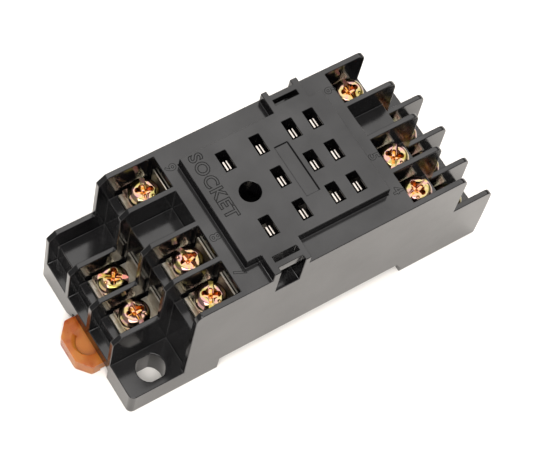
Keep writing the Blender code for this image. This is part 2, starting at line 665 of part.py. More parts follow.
def build_clip(number, finish):
    _, _, _, x, y = TERMINALS[number]
    mesh_data = bmesh.new()
    outline = [(x + across, height) for across, height in clip_outline()]
    add_prism(mesh_data, outline, "Y", y - CLIP_HALF_WIDTH, y + CLIP_HALF_WIDTH)
    return make_object(f"contact_clip_{number:02d}", mesh_data, finish)


def build_washer(number, finish, cutter):
    """A square clamp washer with cut corners, on its screw's axis."""
    half_x, half_y, corner = WASHER_X / 2, WASHER_Y / 2, WASHER_CORNER
    far = [(half_x, half_y - corner), (half_x - corner, half_y)]
    far += [(-x, y) for x, y in reversed(far)]
    outline = far + [(-x, -y) for x, y in far]
    mesh_data = bmesh.new()
    add_prism(mesh_data, outline, "Z", 0, WASHER_THICK)
    x, y, deck = terminal_place(number)
    washer = make_object(f"clamp_washer_{number:02d}", mesh_data, finish, (x, y, deck + WASHER_BOTTOM))
    combine(washer, cutter(washer), "DIFFERENCE")
    return washer


def washer_bore(washer):
    """The hole through one washer."""

    def fill(mesh_data):
        add_cylinder(mesh_data, (0, 0), SCREW_HOLE_RADIUS, -PAST, WASHER_THICK + PAST)

    bore = make_cutter("bore_" + washer.name, fill)
    bore.location = washer.location
    return bore


def head_profile():
    """Half section of the screw, from the shank's tip up to the top of its domed head."""
    tip, skirt, shoulder = SHANK_TIP, HEAD_SKIRT, HEAD_SHOULDER
    profile = [(0, -SHANK_LENGTH), (SHANK_RADIUS - tip, -SHANK_LENGTH), (SHANK_RADIUS, -SHANK_LENGTH + tip)]
    profile += [(SHANK_RADIUS, 0), (HEAD_RADIUS, 0), (HEAD_RADIUS, skirt)]
    for step in (1, 2, 3):
        angle = math.pi / 2 * step / 3
        reach = shoulder + (HEAD_RADIUS - shoulder) * math.cos(angle)
        profile.append((reach, skirt + (HEAD_HEIGHT - HEAD_DOME - skirt) * math.sin(angle)))
    return profile + [(0, HEAD_HEIGHT)]


def cross_recess(mesh_data):
    """A tapered cross, open at the top of the head."""
    top = HEAD_HEIGHT + HEAD_DOME
    bottom = HEAD_HEIGHT - RECESS_DEPTH
    rings = []
    foot = (bottom, RECESS_HALF * RECESS_TAPER, RECESS_ARM * RECESS_TAPER)
    for height, reach, arm in (foot, (top, RECESS_HALF, RECESS_ARM)):
        ring = []
        for quarter in range(4):
            turn = Matrix.Rotation(quarter * math.pi / 2, 3, "Z")
            for x, y in ((reach, -arm), (reach, arm), (arm, arm)):
                ring.append(mesh_data.verts.new(turn @ Vector((x, y, height))))
        rings.append(ring)
        mesh_data.faces.new(ring)
    count = len(rings[0])
    for index in range(count):
        following = (index + 1) % count
        mesh_data.faces.new((rings[0][index], rings[0][following], rings[1][following], rings[1][index]))


def drive_slot(mesh_data):
    """The straight slot across the whole head."""
    reach = HEAD_RADIUS + PAST
    low = (-reach, -DRIVE_SLOT_HALF, HEAD_HEIGHT - DRIVE_SLOT_DEPTH)
    add_box(mesh_data, low, (reach, DRIVE_SLOT_HALF, HEAD_HEIGHT + PAST))


def build_screw(number, finish):
    """A clamp screw with a domed head, a cross recess and a slot, on its own axis."""
    mesh_data = bmesh.new()
    add_turned(mesh_data, head_profile())
    x, y, deck = terminal_place(number)
    name = f"terminal_screw_{number:02d}"
    screw = make_object(name, mesh_data, finish, (x, y, deck + HEAD_BOTTOM))
    for drive in (cross_recess, drive_slot):
        recess = make_cutter(f"{drive.__name__}_{name}", drive)
        recess.location = screw.location
        combine(screw, recess, "DIFFERENCE")
    screw.data.shade_smooth()
    screw.data.set_sharp_from_angle(angle=math.radians(30))
    return screw


def main():
    clear_scene()
    make_datum()
    black = make_material("black_plastic", (0.02, 0.02, 0.021), 0.3, 0.0)
    amber = make_material("amber_plastic", (0.60, 0.22, 0.05), 0.35, 0.0)
    brass = make_material("strap_metal", (0.70, 0.68, 0.62), 0.3, 1.0)
    spring = make_material("clip_metal", (0.78, 0.66, 0.50), 0.25, 1.0)
    zinc = make_material("washer_zinc", (0.75, 0.68, 0.42), 0.3, 1.0)
    yellow = make_material("screw_zinc", (0.80, 0.60, 0.32), 0.25, 1.0)
    build_housing(black)
    build_base_plate(black)
    build_slider(amber)
    for number in TERMINALS:
        build_strap(number, brass)
        build_clip(number, spring)
        build_washer(number, zinc, washer_bore)
        build_screw(number, yellow)


main()
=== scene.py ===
"""Looks of an eleven-terminal relay socket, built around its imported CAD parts.

Lengths are metres in the frame of the CAD parts: X along the socket, Y across it, Z up. Each sub-assembly is
a class that builds its pieces in place, dresses them and ties them to the body that carries them.
"""

import logging
import math
from dataclasses import dataclass
from enum import Enum

import bmesh
import bpy
from mathutils import Euler, Matrix, Vector


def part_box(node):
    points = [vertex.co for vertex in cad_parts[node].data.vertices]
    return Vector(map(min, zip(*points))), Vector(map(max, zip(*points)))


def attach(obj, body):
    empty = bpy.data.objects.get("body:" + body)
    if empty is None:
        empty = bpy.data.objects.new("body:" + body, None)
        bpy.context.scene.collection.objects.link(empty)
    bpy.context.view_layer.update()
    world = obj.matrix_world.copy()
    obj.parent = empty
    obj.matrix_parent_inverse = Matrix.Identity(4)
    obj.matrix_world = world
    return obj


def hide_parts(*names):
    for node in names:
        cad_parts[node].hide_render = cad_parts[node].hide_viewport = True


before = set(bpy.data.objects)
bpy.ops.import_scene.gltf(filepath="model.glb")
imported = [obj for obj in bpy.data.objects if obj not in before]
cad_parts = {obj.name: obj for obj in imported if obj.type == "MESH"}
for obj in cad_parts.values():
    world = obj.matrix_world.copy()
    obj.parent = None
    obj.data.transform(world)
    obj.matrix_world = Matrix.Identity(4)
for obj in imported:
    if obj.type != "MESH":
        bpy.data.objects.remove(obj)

LOG = logging.getLogger("relay_socket")
MM = 0.001
MERGE = 1e-6
FLAT_ANGLE = math.radians(1.0)
SMOOTH_ANGLE = math.radians(40.0)
NOISE_MIDDLE = (0.3, 0.7)

Pair = tuple[float, float]
Triple = tuple[float, float, float]
Colour = Triple
Stops = tuple[tuple[float, Colour], ...]
Profile = list[tuple[float, float]]


class Slot(Enum):
    """The record's material slots."""

    BLACK = "black_plastic"
    AMBER = "amber_plastic"
    STRAP = "strap_metal"
    CLIP = "clip_metal"
    WASHER = "washer_zinc"
    SCREW = "screw_zinc"


class Graph:
    """A material's node tree, with short calls that add and join its nodes."""

    def __init__(self, name: str) -> None:
        """Starts a material.

        Args:
            name: the material's name.
        """
        self.material = bpy.data.materials.new(name)
        self.material.use_nodes = True
        self.tree = self.material.node_tree
        self.shader = self.tree.nodes["Principled BSDF"]
        self.place = self.add("ShaderNodeTexCoord").outputs["Object"]

    def add(self, kind: str) -> bpy.types.Node:
        """Adds a node of this kind and returns it."""
        return self.tree.nodes.new(kind)

    def join(self, source: bpy.types.NodeSocket, target: bpy.types.NodeSocket) -> None:
        """Links one socket to another."""
        self.tree.links.new(source, target)

    def fix(self, **values: float | Colour) -> None:
        """Sets constants on the shader.

        Args:
            values: socket names in lower case, with _ for a space.
        """
        for name, value in values.items():
            socket = next(s for s in self.shader.inputs if s.name.lower().replace(" ", "_") == name)
            socket.default_value = (*value, 1.0) if socket.type == "RGBA" else value

    def stretch(self, scale: Triple, turn: Triple) -> bpy.types.NodeSocket:
        """Object coordinates stretched and turned.

        Args:
            scale: the factor along each axis.
            turn: the turn about each axis, in radians.

        Returns:
            The socket that gives them.
        """
        mapping = self.add("ShaderNodeMapping")
        mapping.inputs["Scale"].default_value = scale
        mapping.inputs["Rotation"].default_value = turn
        self.join(self.place, mapping.inputs["Vector"])
        return mapping.outputs["Vector"]

    def noise(self, size: float, detail: float = 3.0,
              place: bpy.types.NodeSocket | None = None) -> bpy.types.NodeSocket:
        """Cloudy noise.

        Args:
            size: the width of its patches, in metres.
            detail: how many finer layers it has.
            place: coordinates other than the object's own.

        Returns:
            The socket that gives it, from 0 to 1.
        """
        node = self.add("ShaderNodeTexNoise")
        node.inputs["Scale"].default_value = 1 / size
        node.inputs["Detail"].default_value = detail
        self.join(place or self.place, node.inputs["Vector"])
        return node.outputs["Fac"]

    def remap(self, value: bpy.types.NodeSocket, low: float, high: float) -> bpy.types.NodeSocket:
        """Spreads the middle of a noise over a range.

        Args:
            value: the noise.
            low: the result at its dark patches.
            high: the result at its bright patches.

        Returns:
            The socket that gives the result.
        """
        node = self.add("ShaderNodeMapRange")
        limits = {"From Min": NOISE_MIDDLE[0], "From Max": NOISE_MIDDLE[1], "To Min": low, "To Max": high}
        for name, number in limits.items():
            node.inputs[name].default_value = number
        self.join(value, node.inputs["Value"])
        return node.outputs["Result"]

    def ramp(self, value: bpy.types.NodeSocket, stops: Stops) -> bpy.types.NodeSocket:
        """Colours along a value.

        Args:
            value: the value, from 0 to 1.
            stops: places and their colours, in order.

        Returns:
            The socket that gives the colour.
        """
        node = self.add("ShaderNodeValToRGB")
        elements = node.color_ramp.elements
        while len(elements) < len(stops):
            elements.new(1.0)
        for element, (position, colour) in zip(elements, stops):
            element.position = position
            element.color = (*colour, 1.0)
        self.join(value, node.inputs["Fac"])
        return node.outputs["Color"]

    def bump(self, height: bpy.types.NodeSocket, relief: Pair) -> None:
        """Adds relief to the shader, over any that it has.

        Args:
            height: the relief, from 0 to 1.
            relief: the share of it that shows, and its height in metres.
        """
        node = self.add("ShaderNodeBump")
        node.inputs["Strength"].default_value, node.inputs["Distance"].default_value = relief
        self.join(height, node.inputs["Height"])
        links = self.shader.inputs["Normal"].links
        if links:
            self.join(links[0].from_socket, node.inputs["Normal"])
        self.join(node.outputs["Normal"], self.shader.inputs["Normal"])


@dataclass(frozen=True)
class MouldedPlastic:
    """Opaque glossy plastic out of a polished mould, a little cloudy where it was handled."""

    name: str
    dark: Colour
    light: Colour
    roughness: Pair
    ior: float = 1.46
    cloud: float = 5.0 * MM
    cloud_ends: Pair = (0.35, 0.7)
    handling: float = 9.0 * MM
    sheen: Pair = (0.38, 0.54)
    ripple: float = 2.4 * MM
    ripple_relief: Pair = (0.12, 0.02 * MM)
    grain: float = 0.16 * MM
    grain_relief: Pair = (0.10, 0.003 * MM)

    def build(self) -> bpy.types.Material:
        """Makes the material."""
        graph = Graph(self.name)
        tint = graph.ramp(graph.noise(self.cloud), tuple(zip(self.cloud_ends, (self.dark, self.light))))
        graph.join(tint, graph.shader.inputs["Base Color"])
        dull = graph.remap(graph.noise(self.cloud / 3), *self.roughness)
        graph.join(dull, graph.shader.inputs["Roughness"])
        sheen = graph.remap(graph.noise(self.handling, 4.0), *self.sheen)
        graph.join(sheen, graph.shader.inputs["Specular IOR Level"])
        graph.bump(graph.noise(self.ripple, 1.0), self.ripple_relief)
        graph.bump(graph.noise(self.grain, 2.0), self.grain_relief)
        graph.fix(ior=self.ior)
        return graph.material


@dataclass(frozen=True)
class AmberPlastic:
    """Translucent amber plastic, deeper in colour where it is thick."""

    name: str = "amber_plastic_finish"
    pale: Colour = (0.36, 0.122, 0.020)
    deep: Colour = (0.24, 0.036, 0.002)
    roughness: Pair = (0.22, 0.34)
    ior: float = 1.45
    gloss: float = 0.25
    flow: float = 3.6 * MM
    flow_ends: Pair = (0.38, 0.62)
    grain: float = 0.2 * MM
    grain_relief: Pair = (0.12, 0.004 * MM)
    glow: float = 0.35
    glow_reach: float = 1.2 * MM
    glow_spread: Triple = (1.0, 0.3, 0.08)

    def build(self) -> bpy.types.Material:
        """Makes the material."""
        graph = Graph(self.name)
        flow = graph.noise(self.flow, 2.0)
        tint = graph.ramp(flow, tuple(zip(self.flow_ends, (self.deep, self.pale))))
        graph.join(tint, graph.shader.inputs["Base Color"])
        graph.join(graph.remap(flow, *self.roughness), graph.shader.inputs["Roughness"])
        graph.bump(graph.noise(self.grain), self.grain_relief)
        graph.fix(ior=self.ior, specular_ior_level=self.gloss, subsurface_weight=self.glow,
                  subsurface_scale=self.glow_reach, subsurface_radius=self.glow_spread)
        return graph.material


@dataclass(frozen=True)
class PlatedMetal:
    """Plated or plain metal whose tint drifts over the surface."""

    name: str
    tints: Stops
    roughness: Pair
    drift: float = 1.6 * MM
    scratch: float = 0.12 * MM
    scratch_stretch: Triple = (1.0, 0.12, 1.0)
    scratch_turn: Triple = (0.0, 0.0, 0.5)
    relief: Pair = (0.14, 0.003 * MM)

    def build(self) -> bpy.types.Material:
        """Makes the material."""
        graph = Graph(self.name)
        graph.join(graph.ramp(graph.noise(self.drift, 2.0), self.tints), graph.shader.inputs["Base Color"])
        dull = graph.remap(graph.noise(self.drift / 4), *self.roughness)
        graph.join(dull, graph.shader.inputs["Roughness"])
        brushed = graph.stretch(self.scratch_stretch, self.scratch_turn)
        graph.bump(graph.noise(self.scratch, 2.0, brushed), self.relief)
        graph.fix(metallic=1.0)
        return graph.material


@dataclass(frozen=True)
class PaleFloor:
    """A matt pale floor."""

    name: str = "pale_floor_finish"
    dark: Colour = (0.86, 0.835, 0.80)
    light: Colour = (0.90, 0.875, 0.84)
    cloud: float = 90 * MM
    roughness: float = 0.9

    def build(self) -> bpy.types.Material:
        """Makes the material."""
        graph = Graph(self.name)
        tint = graph.ramp(graph.noise(self.cloud), tuple(zip(NOISE_MIDDLE, (self.dark, self.light))))
        graph.join(tint, graph.shader.inputs["Base Color"])
        graph.fix(roughness=self.roughness, specular_ior_level=0.0)
        return graph.material


BLACK = MouldedPlastic("black_plastic_finish", (0.0022, 0.0021, 0.0024), (0.0045, 0.0042, 0.0046),
                       (0.11, 0.17))
OUTLINE_BLACK = MouldedPlastic("outline_plastic_finish", (0.003, 0.003, 0.003), (0.006, 0.006, 0.006),
                               (0.5, 0.6), 1.3)
BASE_BLACK = MouldedPlastic("base_plastic_finish", (0.008, 0.008, 0.0085), (0.014, 0.014, 0.015),
                            (0.25, 0.35))
AMBER = AmberPlastic()
STRAP = PlatedMetal(
    "strap_metal_finish",
    ((0.3, (0.34, 0.31, 0.26)), (0.5, (0.44, 0.41, 0.35)), (0.7, (0.36, 0.31, 0.24))),
    (0.3, 0.4),
)
SPRING = PlatedMetal(
    "clip_metal_finish",
    ((0.3, (0.34, 0.31, 0.28)), (0.6, (0.40, 0.37, 0.34)), (0.8, (0.32, 0.27, 0.22))),
    (0.2, 0.32),
)
WASHER_ZINC = PlatedMetal(
    "washer_zinc_finish",
    ((0.3, (0.60, 0.50, 0.28)), (0.43, (0.68, 0.42, 0.34)), (0.56, (0.76, 0.69, 0.50)),
     (0.7, (0.48, 0.45, 0.26))),
    (0.2, 0.32),
)
# Zinc for the cross recess, darker and more orange than the head: the plating's colour with painted shade
# from the recess laid over it.
RECESS_SHADE_ZINC = PlatedMetal(
    "screw_recess_finish",
    ((0.36, (0.30, 0.12, 0.02)), (0.46, (0.38, 0.19, 0.04)), (0.54, (0.46, 0.24, 0.19)),
     (0.64, (0.38, 0.23, 0.05))),
    (0.08, 0.14),
    0.9 * MM,
)
SCREW_ZINC = PlatedMetal(
    "screw_zinc_finish",
    ((0.36, (0.23, 0.18, 0.05)), (0.43, (0.32, 0.26, 0.13)), (0.49, (0.33, 0.20, 0.15)),
     (0.54, (0.31, 0.17, 0.18)), (0.59, (0.32, 0.24, 0.12)), (0.66, (0.23, 0.20, 0.07))),
    (0.09, 0.16),
    2.6 * MM,
)


class Finishes:
    """The socket's materials, each made once."""

    def __init__(self) -> None:
        """Makes every material."""
        self.black = BLACK.build()
        self.outline = OUTLINE_BLACK.build()
        self.base = BASE_BLACK.build()
        self.amber = AMBER.build()
        self.strap = STRAP.build()
        self.spring = SPRING.build()
        self.washer = WASHER_ZINC.build()
        self.screw = SCREW_ZINC.build()
        # The recess zinc carries painted shade.
        self.recess = RECESS_SHADE_ZINC.build()


def cad_shape(node: str) -> bmesh.types.BMesh:
    """A merged copy of a CAD node's mesh, with its flat faces whole.

    Args:
        node: the node's name.

    Returns:
        The copy.
    """
    shape = bmesh.new()
    shape.from_mesh(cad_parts[node].data)
    bmesh.ops.remove_doubles(shape, verts=shape.verts, dist=MERGE)
    bmesh.ops.dissolve_limit(shape, angle_limit=FLAT_ANGLE, verts=shape.verts, edges=shape.edges)
    return shape


def soften(shape: bmesh.types.BMesh, width: float, least: float = 35.0, steps: int = 2,
           clamp: bool = True) -> None:
    """Rounds a mesh's sharp edges.

    Args:
        shape: the mesh.
        width: how far the rounding reaches from an edge.
        least: the least angle of an edge that is rounded, in degrees.
        steps: how many faces round an edge.
        clamp: whether the width is held back where two roundings would meet.
    """
    limit = math.radians(least)
    edges = [edge for edge in shape.edges if edge.is_manifold and edge.calc_face_angle(0.0) > limit]
    bmesh.ops.bevel(shape, geom=edges, offset=width, offset_type="OFFSET", segments=steps, profile=0.5,
                    affect="EDGES", clamp_overlap=clamp, material=-1)


def make_piece(shape: bmesh.types.BMesh, name: str, finish: bpy.types.Material, body: str, slot: Slot,
               *nodes: str) -> bpy.types.Object:
    """Turns a mesh into a finished piece that rides on a body.

    Args:
        shape: the mesh, in place. It is freed.
        name: the piece's name.
        finish: its material.
        body: the CAD body that carries it.
        slot: the record's slot that its finish comes from; it is not used.
        nodes: the CAD nodes that it stands for.

    Returns:
        The piece.
    """
    mesh = bpy.data.meshes.new(name)
    shape.to_mesh(mesh)
    shape.free()
    mesh.shade_smooth()
    mesh.set_sharp_from_angle(angle=SMOOTH_ANGLE)
    mesh.materials.append(finish)
    piece = bpy.data.objects.new(name, mesh)
    bpy.context.scene.collection.objects.link(piece)
    weighted = piece.modifiers.new("even_shading", "WEIGHTED_NORMAL")
    weighted.keep_sharp = True
    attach(piece, body)
    if nodes:
        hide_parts(*nodes)
    LOG.info("%s: %d faces on %s", name, len(mesh.polygons), body)
    return piece


def carve(shape: bmesh.types.BMesh, cutters: list[bmesh.types.BMesh]) -> bmesh.types.BMesh:
    """Cuts meshes out of another, one after the other.

    Args:
        shape: the mesh that is cut. It is freed, and so are the cutters.
        cutters: the closed meshes to cut with.

    Returns:
        What is left.
    """
    helpers = []
    for part in (shape, *cutters):
        bmesh.ops.recalc_face_normals(part, faces=part.faces)
        mesh = bpy.data.meshes.new("carving")
        part.to_mesh(mesh)
        part.free()
        helper = bpy.data.objects.new("carving", mesh)
        bpy.context.scene.collection.objects.link(helper)
        helpers.append(helper)
    for helper in helpers[1:]:
        cut = helpers[0].modifiers.new("cut", "BOOLEAN")
        cut.operation = "DIFFERENCE"
        cut.solver = "EXACT"
        cut.object = helper
    result = bmesh.new()
    result.from_object(helpers[0], bpy.context.evaluated_depsgraph_get())
    for helper in helpers:
        mesh = helper.data
        bpy.data.objects.remove(helper, do_unlink=True)
        bpy.data.meshes.remove(mesh)
    bmesh.ops.remove_doubles(result, verts=result.verts, dist=MERGE)
    return result


def turned(profile: Profile, steps: int) -> bmesh.types.BMesh:
    """Turns a profile about Z.

    Args:
        profile: (radius, height) points whose ends lie on the axis.
        steps: how many faces go round.

    Returns:
        The closed mesh.
    """
    shape = bmesh.new()
    points = [shape.verts.new((radius, 0.0, height)) for radius, height in profile]
    edges = [shape.edges.new(pair) for pair in zip(points, points[1:])]
    bmesh.ops.spin(shape, geom=points + edges, cent=(0, 0, 0), axis=(0, 0, 1), angle=math.tau, steps=steps,
                   use_merge=True)
    bmesh.ops.remove_doubles(shape, verts=shape.verts, dist=MERGE)
    bmesh.ops.recalc_face_normals(shape, faces=shape.faces)
    return shape


def middle_of(node: str) -> Vector:
    """The middle of a CAD node's box."""
    low, high = (Vector(corner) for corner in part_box(node))
    return (low + high) / 2


@dataclass
class RaisedText:
    """Generic characters drawn as thin raised outlines."""

    stroke: float = 0.085 * MM
    swell: float = 0.065 * MM
    type_size: float = 1.38
    spacing: float = 1.12

    def shape(self, text: str, place: Vector, height: float, turn: float) -> bmesh.types.BMesh:
        """The outlines of some characters.

        Args:
            text: the characters.
            place: the middle of the text, on the face that carries it.
            height: the height of the characters.
            turn: the text's turn about Z, in degrees.

        Returns:
            A mesh of thin rounded strokes, in place.
        """
        curve = bpy.data.curves.new("outline", "FONT")
        curve.body = text
        curve.align_x, curve.align_y = "CENTER", "CENTER"
        curve.size = height * self.type_size
        curve.space_character = self.spacing
        curve.fill_mode = "NONE"
        curve.offset = self.swell
        curve.bevel_depth = self.stroke
        curve.bevel_resolution = 1
        curve.resolution_u = 4
        holder = bpy.data.objects.new("outline", curve)
        bpy.context.scene.collection.objects.link(holder)
        drawn = holder.evaluated_get(bpy.context.evaluated_depsgraph_get())
        mesh = bpy.data.meshes.new_from_object(drawn)
        shape = bmesh.new()
        shape.from_mesh(mesh)
        bpy.data.meshes.remove(mesh)
        bpy.data.objects.remove(holder, do_unlink=True)
        bpy.data.curves.remove(curve)
        matrix = Matrix.Translation(place) @ Matrix.Rotation(math.radians(turn), 4, "Z")
        bmesh.ops.transform(shape, matrix=matrix, verts=shape.verts)
        return shape


@dataclass
class Housing:
    """The black moulding: shell, base plate, raised numbers on its ledges and legend on its seat."""

    finishes: Finishes
    body: str = "socket"
    edge: float = 0.15 * MM
    seat_top: float = 30.1 * MM
    ledge_top: float = 28.0 * MM
    number_height: float = 1.9 * MM
    fine_stroke: float = 0.05 * MM
    text_turn: float = -90.0
    legend: str = "SOCKET"
    legend_height: float = 2.3 * MM
    legend_x: float = -10.0 * MM
    legend_y: float = 3.7 * MM
    numbers: tuple[tuple[str, float, float], ...] = (
        ("9", -13.75 * MM, 10.6 * MM), ("8", -13.75 * MM, -3.5 * MM), ("7", -13.6 * MM, -10.6 * MM),
        ("6", 17.45 * MM, 10.7 * MM), ("5", 17.2 * MM, -3.4 * MM), ("4", 17.2 * MM, -10.5 * MM),
    )

    def build(self) -> None:
        """Builds every piece of the moulding."""
        shell = cad_shape("housing")
        soften(shell, self.edge, clamp=False)
        make_piece(shell, "housing_shell", self.finishes.black, self.body, Slot.BLACK, "housing")
        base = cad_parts["base_plate"]
        base.data.materials.clear()
        base.data.materials.append(self.finishes.base)
        self.build_text()

    def build_text(self) -> None:
        """Builds the terminal numbers and the legend."""
        text = RaisedText()
        fine = RaisedText(self.fine_stroke)
        for number, x, y in self.numbers:
            shape = fine.shape(number, Vector((x, y, self.ledge_top)), self.number_height,
                               self.text_turn)
            make_piece(shape, "ledge_number_" + number, self.finishes.outline, self.body, Slot.BLACK)
        place = Vector((self.legend_x, self.legend_y, self.seat_top))
        shape = text.shape(self.legend, place, self.legend_height, self.text_turn)
        make_piece(shape, "seat_legend", self.finishes.outline, self.body, Slot.BLACK)


@dataclass
class LockSlide:
    """The amber sliding clip, with a tapered blade recess in its tab."""

    finishes: Finishes
    body: str = "lock_slide"
    edge: float = 0.32 * MM
    recess_x: float = -34.1 * MM
    recess_y: float = -0.68 * MM
    recess_reach: float = 2.9 * MM
    recess_half: float = 3.2 * MM
    recess_depth: float = 1.5 * MM
    recess_taper: float = 0.72
    recess_tilt: float = -14.0
    tab_top: float = 3.2 * MM

    def recess(self) -> bmesh.types.BMesh:
        """The solid of the blade recess: half round, and deeper towards the housing."""
        cutter = bmesh.new()
        bmesh.ops.create_cone(cutter, cap_ends=True, segments=40,
                              radius1=self.recess_half * self.recess_taper, radius2=self.recess_half,
                              depth=self.recess_depth * 2)
        bmesh.ops.scale(cutter, vec=(self.recess_reach / self.recess_half, 1.0, 1.0), verts=cutter.verts)
        tilt = Matrix.Rotation(math.radians(self.recess_tilt), 3, "Y")
        bmesh.ops.rotate(cutter, matrix=tilt, verts=cutter.verts)
        bmesh.ops.translate(cutter, vec=(self.recess_x, self.recess_y, self.tab_top), verts=cutter.verts)
        return cutter

    def build(self) -> None:
        """Builds the clip."""
        shape = cad_shape("din_lock_slider")
        soften(shape, self.edge, 50.0, 3)
        shape = carve(shape, [self.recess()])
        make_piece(shape, "lock_slide_amber", self.finishes.amber, self.body, Slot.AMBER, "din_lock_slider")


@dataclass
class ClampScrew:
    """A pan-head clamp screw with a cross recess, a straight slot and a centre-punch dot."""

    finishes: Finishes
    shank: float = 1.45 * MM
    core: float = 1.2 * MM
    shank_length: float = 6.0 * MM
    plain_length: float = 1.0 * MM
    neck: float = 0.5 * MM
    tip: float = 0.3 * MM
    tip_share: float = 0.8
    pitch: float = 0.5 * MM
    head: float = 2.65 * MM
    height: float = 2.7 * MM
    rim: float = 0.18 * MM
    rim_share: float = 0.93
    flat_share: float = 0.60
    side_share: float = 0.52
    shoulder_share: float = 0.965
    ring_share: float = 0.99
    crown_steps: int = 6
    slot_half: float = 0.42 * MM
    slot_depth: float = 0.95 * MM
    slot_reach: float = 1.2
    recess_reach: float = 1.75 * MM
    recess_start: float = 0.12 * MM
    recess_floor: float = 2.0 * MM
    wing_reach: float = 1.66 * MM
    wing_round: float = 0.56 * MM
    wing_depth: float = 1.35 * MM
    wing_foot: float = 0.45
    wing_mouth: float = 1.05
    wing_clearance: float = 0.1 * MM
    heart: float = 1.2 * MM
    heart_foot: float = 0.12 * MM
    heart_depth: float = 1.9 * MM
    heart_sink: float = 0.85 * MM
    dot: float = 0.34 * MM
    dot_reach: float = 1.78 * MM
    dot_turn: float = -135.0
    edge: float = 0.07 * MM
    edge_angle: float = 38.0

    def profile(self) -> Profile:
        """Half section from the tip, over the thread and the head's rim, to the top of the head."""
        points = [(0.0, -self.shank_length), (self.core * self.tip_share, -self.shank_length)]
        turns = int((self.shank_length - self.plain_length) / self.pitch)
        for turn in range(turns):
            low = -self.shank_length + self.tip + turn * self.pitch
            points += [(self.core, low), (self.shank, low + self.pitch / 2)]
        points += [(self.core, -self.neck), (self.core, 0.0)]
        points += [(self.head * self.rim_share, 0.0), (self.head, self.rim)]
        flat = self.flat_share * self.head
        side = self.side_share * self.height
        rise = self.shoulder_share * self.height - side
        for step in range(self.crown_steps + 1):
            angle = math.pi / 2 * step / self.crown_steps
            radius = flat + (self.head - flat) * math.cos(angle)
            points.append((radius, side + rise * math.sin(angle)))
        return points + [(flat / 2, self.height * self.ring_share), (0.0, self.height)]

    def wing(self, turn: float) -> bmesh.types.BMesh:
        """One bar of the cross recess, with round tapered ends.

        Args:
            turn: its turn about the screw, in degrees.

        Returns:
            The cutter.
        """
        cutter = bmesh.new()
        for side in (-1, 1):
            reach = side * (self.wing_reach - self.wing_round)
            middle = (reach, 0.0, self.height - self.wing_depth / 2 + self.wing_clearance)
            bmesh.ops.create_cone(cutter, cap_ends=True, segments=20,
                                  radius1=self.wing_round * self.wing_foot,
                                  radius2=self.wing_round * self.wing_mouth,
                                  depth=self.wing_depth + 2 * self.wing_clearance,
                                  matrix=Matrix.Translation(middle))
        bmesh.ops.delete(cutter, geom=cutter.edges[:], context="EDGES_FACES")
        hull = bmesh.ops.convex_hull(cutter, input=cutter.verts)
        inside = [item for item in hull["geom_interior"] if isinstance(item, bmesh.types.BMVert)]
        bmesh.ops.delete(cutter, geom=inside, context="VERTS")
        bmesh.ops.dissolve_limit(cutter, angle_limit=FLAT_ANGLE, verts=cutter.verts, edges=cutter.edges)
        bmesh.ops.rotate(cutter, matrix=Matrix.Rotation(math.radians(turn), 3, "Z"), verts=cutter.verts)
        return cutter

    def cutters(self) -> list[bmesh.types.BMesh]:
        """Everything that is cut out of the head."""
        heart = bmesh.new()
        sink = Matrix.Translation((0, 0, self.height - self.heart_sink))
        bmesh.ops.create_cone(heart, cap_ends=True, segments=32, radius1=self.heart_foot, radius2=self.heart,
                              depth=self.heart_depth, matrix=sink)
        slot = bmesh.new()
        size = (self.head * 2 * self.slot_reach, self.slot_half * 2, self.slot_depth * 2, 1.0)
        middle = Matrix.Translation((0, 0, self.height))
        bmesh.ops.create_cube(slot, size=1.0, matrix=middle @ Matrix.Diagonal(size))
        dot = bmesh.new()
        turn = Matrix.Rotation(math.radians(self.dot_turn), 3, "Z")
        spot = turn @ Vector((self.dot_reach, 0, self.height))
        bmesh.ops.create_uvsphere(dot, u_segments=20, v_segments=10, radius=self.dot,
                                  matrix=Matrix.Translation(spot))
        return [self.wing(0.0), self.wing(90.0), heart, slot, dot]

    def master(self) -> bmesh.types.BMesh:
        """One screw about its own axis, its head standing on Z = 0."""
        shape = carve(turned(self.profile(), 56), self.cutters())
        # Faces inside the cross recess get the second material, whose darker orange tint is painted shade.
        for face in shape.faces:
            reach = max(point.co.xy.length for point in face.verts)
            middle = face.calc_center_median().z
            inside = self.height - self.recess_floor < middle < self.height - self.recess_start
            face.material_index = 1 if inside and reach < self.recess_reach else 0
        soften(shape, self.edge, self.edge_angle)
        return shape

    def build(self, number: int, master: bmesh.types.BMesh, turn: float) -> None:
        """Builds one terminal's screw.

        Args:
            number: the terminal's number.
            master: the screw to copy.
            turn: the slot's turn, in degrees.
        """
        node = f"terminal_screw_{number:02d}"
        place = middle_of(node)
        place.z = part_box(node)[0][2] + self.shank_length
        shape = master.copy()
        matrix = Matrix.Translation(place) @ Matrix.Rotation(math.radians(turn), 4, "Z")
        bmesh.ops.transform(shape, matrix=matrix, verts=shape.verts)
        body = f"screw_{number:02d}"
        name = f"clamp_screw_{number:02d}"
        piece = make_piece(shape, name, self.finishes.screw, body, Slot.SCREW, node)
        # Second material: the recess zinc, with painted shade.
        piece.data.materials.append(self.finishes.recess)


